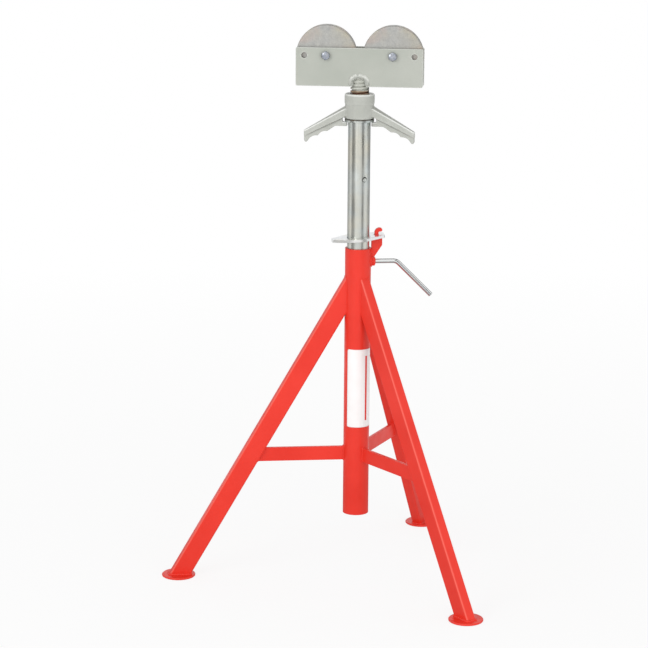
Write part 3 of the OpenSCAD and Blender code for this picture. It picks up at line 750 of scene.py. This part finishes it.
def roller_finish(name, axle_x):
    """Passivated steel: two slow tints over grey that gather at the rim, fine blotches, and lathe rings
    about the axle."""
    made, tree, shader = new_material(name, Metallic=0.75)
    grain = use_group(tree, drawn_metal, Across=90.0, Along=90.0, Fleck=520.0, Cloud=130.0)
    edge = use_group(tree, soft_edge, Radius=0.0006)
    place = add_node(
        tree, "ShaderNodeMapping", Vector=object_place(tree), Location=(-axle_x, 0, -axle_z)
    ).outputs[0]
    shifted = add_node(tree, "ShaderNodeMapping", Vector=place, Location=(0.31, 0.17, 0.23)).outputs[0]
    rim = spread(tree, measure(tree, "LENGTH", place), 0.55 * roller_r, roller_r, 0.25, 1.0)
    straw = spread(tree, noise(tree, place, 24.0, 3.0), 0.42, 0.70, 0.0, 0.95)
    pink = spread(tree, noise(tree, shifted, 30.0, 3.0), 0.46, 0.70, 0.0, 0.8)
    speck = spread(tree, noise(tree, place, 420.0, 4.0, 0.7), 0.4, 0.65)
    tone = blend_colour(tree, grain["Cloud"], (0.43, 0.43, 0.415, 1), (0.55, 0.55, 0.525, 1))
    tone = blend_colour(tree, calc(tree, "MULTIPLY", rim, straw), tone, (0.56, 0.51, 0.38, 1))
    tone = blend_colour(tree, calc(tree, "MULTIPLY", rim, pink), tone, (0.58, 0.44, 0.39, 1))
    tone = blend_colour(tree, calc(tree, "MULTIPLY", speck, 0.42), tone, (0.30, 0.30, 0.285, 1))
    rings = add_node(tree, "ShaderNodeTexWave", Vector=place, Scale=520.0, Distortion=0.6)
    rings.wave_type, rings.rings_direction = "RINGS", "Y"
    normal = bump(tree, rings.outputs["Fac"], 0.1, 0.00004, edge["Normal"])
    link_surface(tree, shader, tone, grain["Cloud"], (0.36, 0.54), normal)
    return made


for side in ("left", "right"):
    low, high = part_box(f"roller_{side}")
    dress(roller_finish(f"passivated_{side}", (low.x + high.x) / 2), f"roller_{side}")
bronze = plated_metal(
    "sintered_bronze", dark=(0.34, 0.22, 0.11, 1), light=(0.62, 0.44, 0.24, 1), warm=(0.50, 0.33, 0.15, 1),
    gloss=(0.35, 0.5), edge_radius=0.0004, Across=700.0, Along=700.0, Fleck=900.0, Cloud=80.0,
)
dress(bronze, "bush_left", "bush_right")

# Axle bolts, nuts and side washers
# Hexagon-headed bolts, cold-headed and rolled, bright zinc plated with a blue cast. Their thread shows
# behind the nuts, and a plain washer lies on each side of each roller.

blue_zinc = plated_metal(
    "blue_zinc", dark=(0.13, 0.15, 0.19, 1), light=(0.62, 0.66, 0.74, 1), warm=(0.42, 0.42, 0.43, 1),
    gloss=(0.20, 0.32), edge_radius=0.0006, Across=150.0, Along=150.0, Fleck=700.0, Cloud=170.0,
)


def hex_head(flats, height, columns=96):
    """A hexagon about +Z: its radius is that of the flats over the cosine of the angle from the nearest
    flat's middle, held inside a 30 degree cone that rounds the corners of its top."""
    turn = np.linspace(0, 2 * pi, columns + 1)
    from_flat = (turn + pi / 6) % (pi / 3) - pi / 6
    hexagon = flats / 2 / np.cos(from_flat)
    level = np.concatenate([[0.0, 0.0], np.linspace(0.55, 1.0, 12), [1.0]])[:, None] * height
    cone = flats / 2 * 0.95 + (height - level) / np.tan(radians(30))
    radius = np.minimum(hexagon, cone)
    radius[0], radius[-1] = 0.0, 0.0
    return about_z(radius, turn, level)


def laid_level(grid, x, y, z):
    """A form about +Z laid along -Y, with its foot at a place."""
    return together(grid[..., 0] + x, y - grid[..., 2], grid[..., 1] + z)


plate_face = plate_low.y
shank_r, bolt_pitch, bolt_depth, bolt_start, thread_long = 0.00475, 0.0016, 0.0008, 0.0006, 0.026
for side in ("left", "right"):
    low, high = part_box(f"axle_bolt_{side}")
    tail, head_height = high.y - plate_face, plate_face - low.y
    thread_end = thread_long - tail
    rod = threaded_bar(
        shank_r, shank_r - bolt_depth, bolt_pitch, low=-tail + bolt_start, high=thread_end, dome=0.0,
        columns=48,
    )
    shank = np.array([[shank_r, thread_end], [shank_r, 0.0], [0.0, 0.0]])
    neck = about_z(shank[:, :1], np.linspace(0, 2 * pi, 49), shank[:, 1:])
    forms = [hex_head(high.x - low.x, head_height), np.concatenate([rod, neck])]
    forms = [laid_level(form, (low.x + high.x) / 2, plate_face, axle_z) for form in forms]
    bolt = piece(grid_mesh(f"axle_bolt_threaded_{side}", forms), "head", blue_zinc)
    bolt.data.set_sharp_from_angle(angle=radians(32))
    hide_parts(f"axle_bolt_{side}")
    dress(blue_zinc, f"axle_nut_{side}")
    dress(bright_zinc, f"side_washers_{side}")

# Camera
# Set as in the photograph: a long lens above the stand's own height, looking down at it from its front,
# a few degrees round towards the clamp rod's side, and tilted by a fraction of a degree.

photo_width, focal_px = 648, 2366
distance, eye_height = 4.303, 1.460
round_right, heading, pitch_down, roll = radians(5.4), radians(6.228), radians(12.80), radians(0.41)
camera = new_object("camera", bpy.data.cameras.new("camera"))
camera.data.sensor_width = 36.0
camera.data.lens = focal_px / photo_width * camera.data.sensor_width
camera.matrix_world = (
    Matrix.Translation((distance * sin(round_right), -distance * cos(round_right), eye_height))
    @ Matrix.Rotation(heading, 4, "Z")
    @ Matrix.Rotation(pi / 2 - pitch_down, 4, "X")
    @ Matrix.Rotation(roll, 4, "Z")
)
bpy.context.scene.camera = camera

# Studio
# A pale floor that fades to white, a white room, one large soft lamp and a fill. Dark cards beside the
# camera and grey ones beside, above and below the stand only show as bands in the metal and the gloss.


def seen_directly(tree):
    """1 for what the camera sees, also by way of gloss or glass, and 0 for light that spreads."""
    rays = tree.nodes.new("ShaderNodeLightPath").outputs
    direct = calc(tree, "MAXIMUM", rays["Is Camera Ray"], rays["Is Glossy Ray"])
    return calc(tree, "MAXIMUM", direct, rays["Is Transmission Ray"])


# The floor is a disc of rings and spokes.
floor_reach, fade_start, fade_end, floor_white = 7.0, 0.3, 3.0, 0.84
spokes = np.linspace(0, 2 * pi, 64, endpoint=False)
rings = np.array([0.0, 0.5, 1.5, 3.0, floor_reach])[:, None]
floor = new_object("floor", grid_mesh("floor", [about_z(rings, spokes, 0.0)]))
paper, tree = empty_material("floor_paper")
away = measure(tree, "LENGTH", object_place(tree))
whiten = spread(tree, away, fade_start, fade_end, floor_white, 1.0)
matte = add_node(tree, "ShaderNodeBsdfDiffuse", Color=(0.86, 0.86, 0.86, 1))
glow = add_node(tree, "ShaderNodeEmission", Color=(1, 1, 1, 1), Strength=1.0)
mixed = tree.nodes.new("ShaderNodeMixShader")
tree.links.new(calc(tree, "MULTIPLY", seen_directly(tree), whiten), mixed.inputs[0])
tree.links.new(matte.outputs[0], mixed.inputs[1])
tree.links.new(glow.outputs[0], mixed.inputs[2])
put_out(tree, mixed)
floor.data.materials.append(paper)

room_light = 0.75
world = bpy.data.worlds.new("white_room")
bpy.context.scene.world = world
world.use_nodes = True
tree = world.node_tree
tree.nodes.clear()
strength = spread(tree, seen_directly(tree), 0.0, 1.0, room_light, 1.0)
room = add_node(tree, "ShaderNodeBackground", Color=(1, 1, 1, 1), Strength=strength)
tree.links.new(room.outputs[0], tree.nodes.new("ShaderNodeOutputWorld").inputs[0])


def soft_lamp(name, place, target, size, power):
    """A square area lamp at a place, turned to face a target."""
    data = bpy.data.lights.new(name, "AREA")
    data.energy, data.size = power, size
    made = new_object(name, data)
    made.location = place
    made.rotation_euler = (Vector(target) - Vector(place)).to_track_quat("-Z", "Y").to_euler()
    return made


lit_point = (0, 0, 0.3)
soft_lamp("key_lamp", (-2.3, -3.0, 2.0), lit_point, size=2.2, power=44.0)
soft_lamp("fill_lamp", (1.9, -3.0, 0.7), lit_point, size=2.0, power=42.0).visible_glossy = False


def card(name, middle, half_width, half_height, grey):
    """A flat card of one grey, from its middle and its two half-sides, that shows only in reflections."""
    paint, tree = empty_material(name)
    put_out(tree, add_node(tree, "ShaderNodeEmission", Color=(grey, grey, grey, 1)))
    mesh = bpy.data.meshes.new(name)
    signs = np.array([(-1, -1), (1, -1), (1, 1), (-1, 1)])
    corners = np.array(middle) + signs[:, :1] * np.array(half_width) + signs[:, 1:] * np.array(half_height)
    mesh.from_pydata(corners.tolist(), [], [(0, 1, 2, 3)])
    mesh.materials.append(paint)
    made = new_object(name, mesh)
    made.visible_camera = made.visible_diffuse = made.visible_shadow = made.visible_transmission = False


card_away, card_half_height = 2.4, 1.5
for name, swing, half_angle, grey in (
    ("card_left", radians(-58), radians(20), 0.05), ("card_right", radians(38), radians(13), 0.12),
    ("side_left", radians(-132), radians(30), 0.50), ("side_right", radians(130), radians(32), 0.40),
):
    bearing = -pi / 2 + round_right + swing
    outward = np.array([cos(bearing), sin(bearing), 0])
    sideways = np.array([-sin(bearing), cos(bearing), 0])
    middle = card_away * outward + [0, 0, card_half_height]
    card(name, middle, card_away * np.tan(half_angle) * sideways, [0, 0, card_half_height], grey)
card("card_above", middle=[0, 0.95, 2.6], half_width=[1.6, 0, 0], half_height=[0, 1.15, 0], grey=0.2)
card("card_below", middle=[0, -0.3, 0.002], half_width=[1.1, 0, 0], half_height=[0, 0.9, 0], grey=0.35)

bpy.context.scene.view_settings.view_transform = "Standard"
